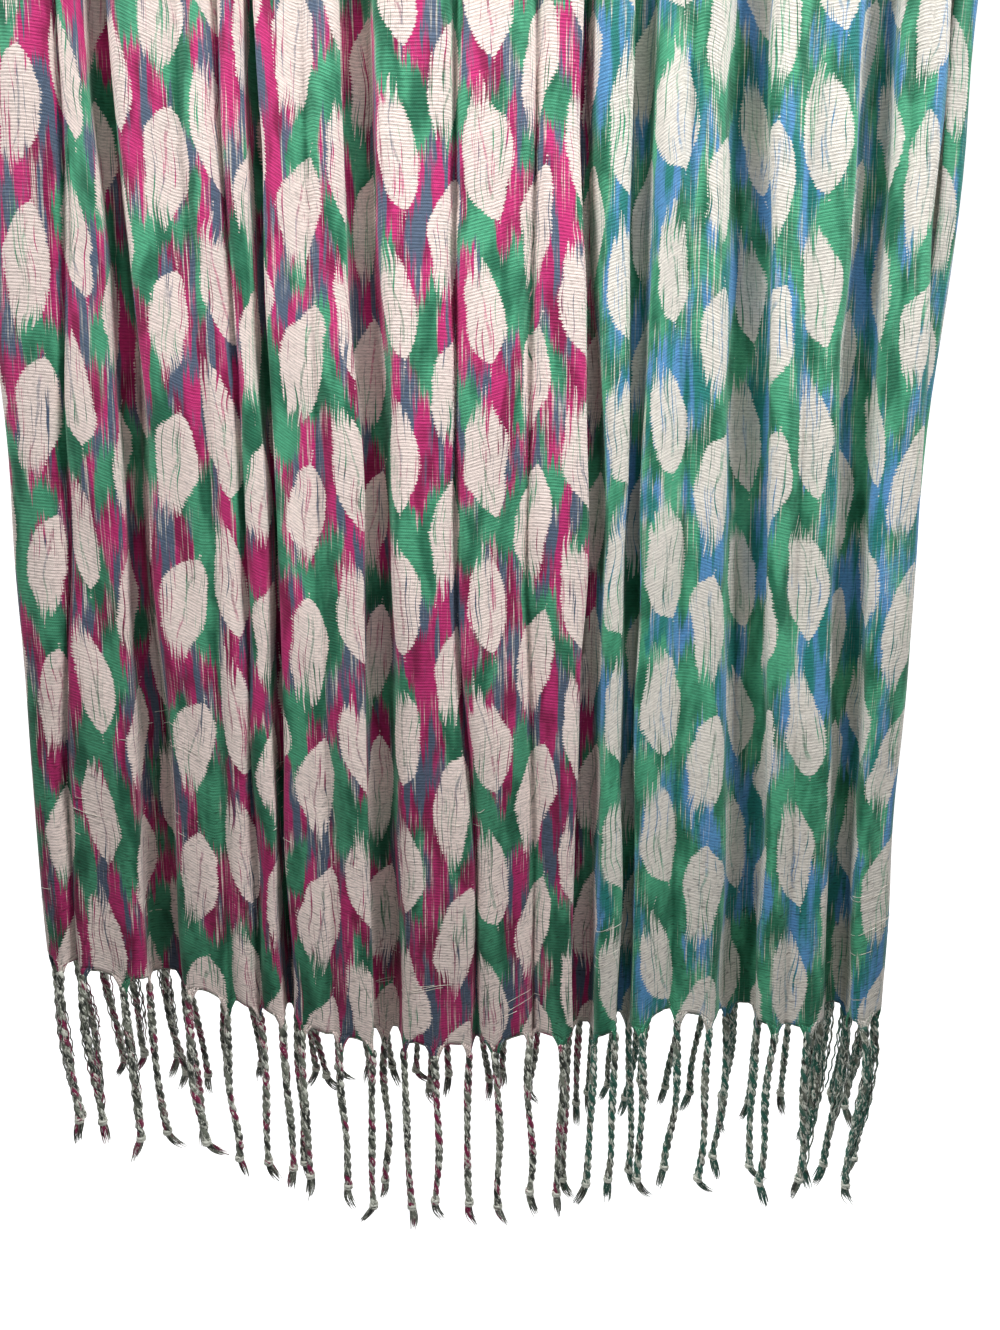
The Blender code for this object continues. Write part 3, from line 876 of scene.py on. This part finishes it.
STRAND_RADIUS = 0.00142
STRAND_OFFSET = 0.00074
TWIST_PITCH = 0.0098
TASSEL_POINTS = 96
TASSEL_WOBBLE = 0.0022
TASSEL_RELAX = 0.025
TUFT_LENGTH = 0.013
TUFT_FIBRES = 18
TUFT_POINTS = 7
TUFT_FIBRE = 0.00048
TUFT_TIP = 0.00013
KNOT_YARN = 0.0009
KNOT_TURNS = 2.2
KNOT_POINTS = 22
KNOT_TOP = 0.0012
KNOT_HEIGHT = 0.0026
FAN_YARNS = 9
FAN_YARN = 0.00055
FAN_REACH = 0.0055
FAN_DROP = 0.008
FAN_OVERLAP = 0.001
EDGE_THREAD = 0.0004

# Beside the tassels nearest the corners hang yarns that have come out of the twist, more on the right
CORNER_REACH = 0.085
CORNER_YARN = 0.00042
LEFT_CORNER_YARNS = 7
RIGHT_CORNER_YARNS = 13


def tassel_line(tassel, root, outwards, shares):
    """The middle line of a tassel, as in the solids."""
    lean = tassel.lean - TASSEL_DRAW_IN * root[0]
    sway = lean * shares ** 2 + tassel.bend * np.sin(shares * math.pi)
    sway += tassel.wave * np.sin(shares * math.tau)
    away = tassel.spread * outwards * shares
    return root + np.stack([sway, away, -shares * tassel.length], axis=1)


def add_rope(yarns, line, across, local):
    """Two strands laid round each other, thicker where the twist is slack."""
    run = running_length(line, 3)
    slack = local.uniform(0, 6)
    turn = run / TWIST_PITCH * math.tau + 0.5 * np.sin(run * 90 + slack) + local.uniform(0, 6)
    swell = 1 + 0.10 * np.sin(run * 140 + slack) - 0.10 * run / run[-1]
    for number in range(2):
        phase = turn + number * math.pi
        offset = np.stack([np.cos(phase), np.sin(phase), np.zeros(len(run))], axis=1)
        strand = line + offset * STRAND_OFFSET * swell[:, None]
        yarns.add(strand, STRAND_RADIUS * swell, 8, across + number * 0.006, number * PALE_PLY_START)


def add_knot(yarns, centre, across):
    turns = np.linspace(0, KNOT_TURNS * math.tau, KNOT_POINTS)
    width = 0.0014 + 0.0003 * np.sin(turns * 0.21)
    height = KNOT_TOP - turns / turns[-1] * KNOT_HEIGHT
    loop = np.stack([np.cos(turns) * width, np.sin(turns) * width, height], axis=1)
    # Painted highlight: the knot's running length starts far along, which makes it paler than the rope.
    yarns.add(centre + loop, KNOT_YARN, 6, across + 0.003, KNOT_HIGHLIGHT_START)


def add_tuft(yarns, top, across, local):
    """The cut ends below the knot, swung to one side."""
    swing = math.radians(local.uniform(-20, 20))
    curl = math.radians(local.choice((0, 0, 0, 12, -12, 28)))
    toward = local.uniform(-0.25, 0.25)
    share = np.linspace(0, 1, TUFT_POINTS)
    swung = swing + curl * share
    level = np.full(TUFT_POINTS, toward)
    path = np.stack([np.sin(swung), level, -np.cos(swung)], axis=1) * share[:, None]
    for number in range(TUFT_FIBRES):
        angle = number / TUFT_FIBRES * math.tau
        ring = np.array([math.cos(angle), math.sin(angle), 0.0])
        reach = local.uniform(0.65, 1.0) * TUFT_LENGTH
        splay = local.uniform(-0.0007, 0.0010)
        out = 0.0011 + 0.0005 * np.sin(share * math.pi) + splay * share
        fibre = top + path * reach + ring * out[:, None]
        radii = np.linspace(TUFT_FIBRE, TUFT_TIP, TUFT_POINTS)
        yarns.add(fibre, radii, 4, across + number * 0.0009)


def add_tassel(yarns, tassel, root, outwards):
    local = random.Random(round(tassel.across * 1e6))
    shares = np.linspace(0.02, 1, TASSEL_POINTS)
    line = tassel_line(tassel, root, outwards, shares)
    wobble = np.sin(shares * local.uniform(2.0, 3.4) * math.pi) * shares
    line[:, 0] += local.uniform(-1, 1) * TASSEL_WOBBLE * wobble
    line[:, 0] += TASSEL_RELAX * root[0] * shares ** 2
    knot_at = 1 - TUFT_LENGTH / tassel.length
    rope = line[shares <= knot_at]
    add_rope(yarns, rope, tassel.across, local)
    add_knot(yarns, rope[-1], tassel.across)
    add_tuft(yarns, rope[-1], tassel.across, local)
    if tassel.across < CORNER_REACH:
        add_corner_yarns(yarns, rope, tassel.across, LEFT_CORNER_YARNS, local)
    if tassel.across > CLOTH_WIDTH - CORNER_REACH:
        add_corner_yarns(yarns, rope, tassel.across, RIGHT_CORNER_YARNS, local)


def add_corner_yarns(yarns, rope, across, count, local):
    """Kinked single yarns that bow out beside a tassel and end at its knot or above it."""
    for number in range(count):
        last = round(len(rope) * local.uniform(0.6, 1.0))
        path = rope[2:last:2].copy()
        share = np.linspace(0, 1, len(path))
        toward = local.uniform(0, math.tau)
        bow = local.uniform(1.2, 4.2) * MM * np.sin(share * local.uniform(0.6, 1.0) * math.pi)
        kink = share * local.uniform(40, 60) + local.uniform(0, math.tau)
        path[:, 0] += math.cos(toward) * bow + 0.0004 * np.sin(kink)
        path[:, 1] += math.sin(toward) * bow + 0.0004 * np.cos(kink)
        start = (number % 2) * PALE_PLY_START
        yarns.add(path, CORNER_YARN, 4, across + number * 0.0011, start)


def add_fan(yarns, tassel, outwards, hem, across, hem_run, way):
    """The cloth's own yarns, drawn together from the hem into the top of a tassel."""
    root = on_hem(hem, across, tassel.across)
    meet = tassel_line(tassel, root, outwards, np.array([FAN_DROP / tassel.length]))[0]
    for number in range(FAN_YARNS):
        aside = (number / (FAN_YARNS - 1) * 2 - 1) * FAN_REACH
        place = tassel.across + aside
        start = on_hem(hem, across, place)
        start[2] += FAN_OVERLAP
        end = meet + np.array([aside * 0.16, 0.0006 * math.cos(number * 2.1), -abs(aside) * 0.3])
        share = np.linspace(0, 1, 6)[:, None]
        bow = np.sin(share * math.pi) * np.array([-aside * 0.22, 0, 0])
        yarns.add(start + (end - start) * share + bow, FAN_YARN, 5, place, hem_run, way)


def make_fringe(name, hem, across, outwards, hem_tassels, material):
    """All the tassels of one hem, and its edge thread. hem is the cloth's last row of points."""
    yarns = Yarns()
    yarns.add(hem - np.array([0, 0, 0.0001]), EDGE_THREAD, 5, across[:, None])
    for tassel in hem_tassels:
        add_tassel(yarns, tassel, on_hem(hem, across, tassel.across), outwards)
    return yarns.object(name, material)


def make_fans(name, grid, across, material):
    """The drawn-together yarns at both hems, in the cloth's own colours."""
    yarns = Yarns()
    sides = [(0, -1, FRONT_TASSELS, 0.0, -1), (-1, 1, BACK_TASSELS, CLOTH_LENGTH, 1)]
    for row, outwards, hem_tassels, hem_run, way in sides:
        for tassel in hem_tassels:
            add_fan(yarns, tassel, outwards, grid[row], across[row], hem_run, way)
    return yarns.object(name, material)


PULLED_CLUSTERS = 22
PULLED_SEED = 5
PULLED_THREAD = 0.00014
PULLED_FROM_ROWS = 70


def surface_finder(grid, across, alongs, rows):
    """A function that gives the point and the outward direction at a place, in millimetres."""
    points, u, v = grid[:rows], across[:rows], alongs[:rows]
    normals = outward_normals(grid)[:rows]
    by_u = np.gradient(points, axis=1) / np.gradient(u, axis=1)[:, :, None]
    by_v = np.gradient(points, axis=0) / np.gradient(v, axis=0)[:, :, None]

    def find(at_u, at_v):
        nearest = np.argmin((u - at_u * MM) ** 2 + (v - at_v * MM) ** 2)
        row, column = np.unravel_index(nearest, u.shape)
        point = points[row, column] + by_u[row, column] * (at_u * MM - u[row, column])
        return point + by_v[row, column] * (at_v * MM - v[row, column]), normals[row, column]

    return find


def make_threads(name, grid, across, alongs, material):
    """The threads pulled out of the weave above the front hem."""
    yarns = Yarns()
    find = surface_finder(grid, across, alongs, PULLED_FROM_ROWS)
    chance = random.Random(PULLED_SEED)
    for _ in range(PULLED_CLUSTERS):
        centre = (chance.uniform(20, 680), 14 + 150 * chance.random() ** 1.4)
        for _ in range(chance.randint(1, 5)):
            middle = (centre[0] + chance.uniform(-14, 14), centre[1] + chance.uniform(-11, 11))
            add_pulled_thread(yarns, find, middle, chance)
    return yarns.object(name, material)


def add_pulled_thread(yarns, find, middle, chance):
    """One crosswise thread that stands a little off the cloth between two of its stitches."""
    reach = chance.choice((1, 1, 1, 2.4)) * chance.uniform(2, 6)
    slope = chance.uniform(0.02, 0.24)
    bow = chance.uniform(-0.5, 0.9)
    lift = chance.uniform(0.15, 0.45)
    line = []
    for share in np.linspace(-1, 1, 9):
        u = middle[0] + share * reach
        v = max(6.0, middle[1] + share * reach * slope + bow * (1 - share ** 2))
        point, normal = find(u, v)
        line.append(point + normal * (0.25 + lift * (1 - share ** 2)) * MM)
    yarns.add(line, PULLED_THREAD, 4, middle[0] * MM)


def make_stage():
    """A pale floor that curves up into a backdrop, and glows behind the scarf."""
    floor_z, far_y, near_y, half_width, bend, top_z, steps = -1.55, 2.6, -3.0, 4.0, 0.8, 1.8, 12
    profile = [(near_y, floor_z)]
    for step in range(steps + 1):
        angle = step / steps * math.pi / 2
        profile.append((far_y - bend + math.sin(angle) * bend, floor_z + bend - math.cos(angle) * bend))
    profile.append((far_y, top_z))
    points = np.array([[x, y, z] for y, z in profile for x in (-half_width, half_width)])
    mesh = bpy.data.meshes.new("backdrop")
    mesh.from_pydata(points.tolist(), [], grid_faces(len(profile), 2).tolist())
    mesh.shade_smooth()
    stage = add_object("backdrop", mesh)
    s = Sheet("backdrop")
    s.shader.inputs["Base Color"].default_value = (0.92, 0.92, 0.92, 1.0)
    s.shader.inputs["Roughness"].default_value = 0.9
    s.shader.inputs["Emission Color"].default_value = (1.0, 1.0, 1.0, 1.0)
    split = s.add("ShaderNodeSeparateXYZ")
    s.put(split.inputs[0], s.add("ShaderNodeTexCoord").outputs["Object"])
    glow = s.math("MULTIPLY", s.ramp(split.outputs[1], -0.2, 0.5), STAGE_GLOW)
    s.put(s.shader.inputs["Emission Strength"], glow)
    mesh.materials.append(s.material)


def add_area_light(row):
    """A soft light with a grid before it, so that little of it reaches past its target."""
    light = bpy.data.lights.new(row.name, "AREA")
    light.shape = "RECTANGLE"
    light.size, light.size_y = row.size
    light.energy = row.power
    light.spread = math.radians(LIGHT_SPREAD)
    lamp = bpy.data.objects.new(row.name, light)
    lamp.location = row.place
    aim = Vector(row.target) - Vector(row.place)
    lamp.rotation_euler = aim.to_track_quat("-Z", "Y").to_euler()
    bpy.context.scene.collection.objects.link(lamp)


def make_world():
    """A white surround that gives only a little light of its own, so that the folds keep their shade."""
    world = bpy.data.worlds.new("studio")
    bpy.context.scene.world = world
    world.use_nodes = True
    tree = world.node_tree
    background = tree.nodes["Background"]
    background.inputs["Color"].default_value = (1.0, 1.0, 1.0, 1.0)
    seen = tree.nodes.new("ShaderNodeLightPath").outputs["Is Camera Ray"]
    strength = tree.nodes.new("ShaderNodeMapRange")
    strength.inputs["To Min"].default_value = WORLD_LIGHT
    strength.inputs["To Max"].default_value = 1.0
    tree.links.new(seen, strength.inputs["Value"])
    tree.links.new(strength.outputs["Result"], background.inputs["Strength"])


def make_light():
    make_world()
    for row in AREA_LIGHTS:
        add_area_light(row)
    bpy.context.scene.view_settings.view_transform = "Standard"


def make_camera():
    data = bpy.data.cameras.new("camera")
    data.lens = CAMERA_LENS
    data.sensor_width = SENSOR_WIDTH
    camera = bpy.data.objects.new("camera", data)
    camera.location = CAMERA_PLACE
    camera.rotation_euler = (math.radians(90 - CAMERA_TILT), 0.0, 0.0)
    bpy.context.scene.collection.objects.link(camera)
    bpy.context.scene.camera = camera


def main():
    make_camera()
    make_light()
    make_stage()
    grid, across, alongs = cloth_grid()
    crease_cloth(grid, across, alongs)
    shape_hem(grid, across, 0, 1, FRONT_TASSELS)
    shape_hem(grid, across, -1, -1, BACK_TASSELS)
    face = cloth_material("printed_face", 0.0)
    reverse = cloth_material("printed_reverse", 0.45)
    cloth = make_cloth(grid, across, alongs, [face, reverse])
    yarn = yarn_material()
    front = make_fringe("tassels_front", grid[0], across[0], -1, FRONT_TASSELS, yarn)
    back = make_fringe("tassels_back", grid[-1], across[-1], 1, BACK_TASSELS, yarn)
    fans = make_fans("tassel_roots", grid, across, face)
    threads = make_threads("loose_threads", grid, across, alongs, thread_material())
    for piece in (cloth, front, back, fans, threads):
        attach(piece, "root")
    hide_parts("cloth_front", "cloth_fold_over", "cloth_back")
    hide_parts("fringe_front")
    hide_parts("fringe_back")


main()
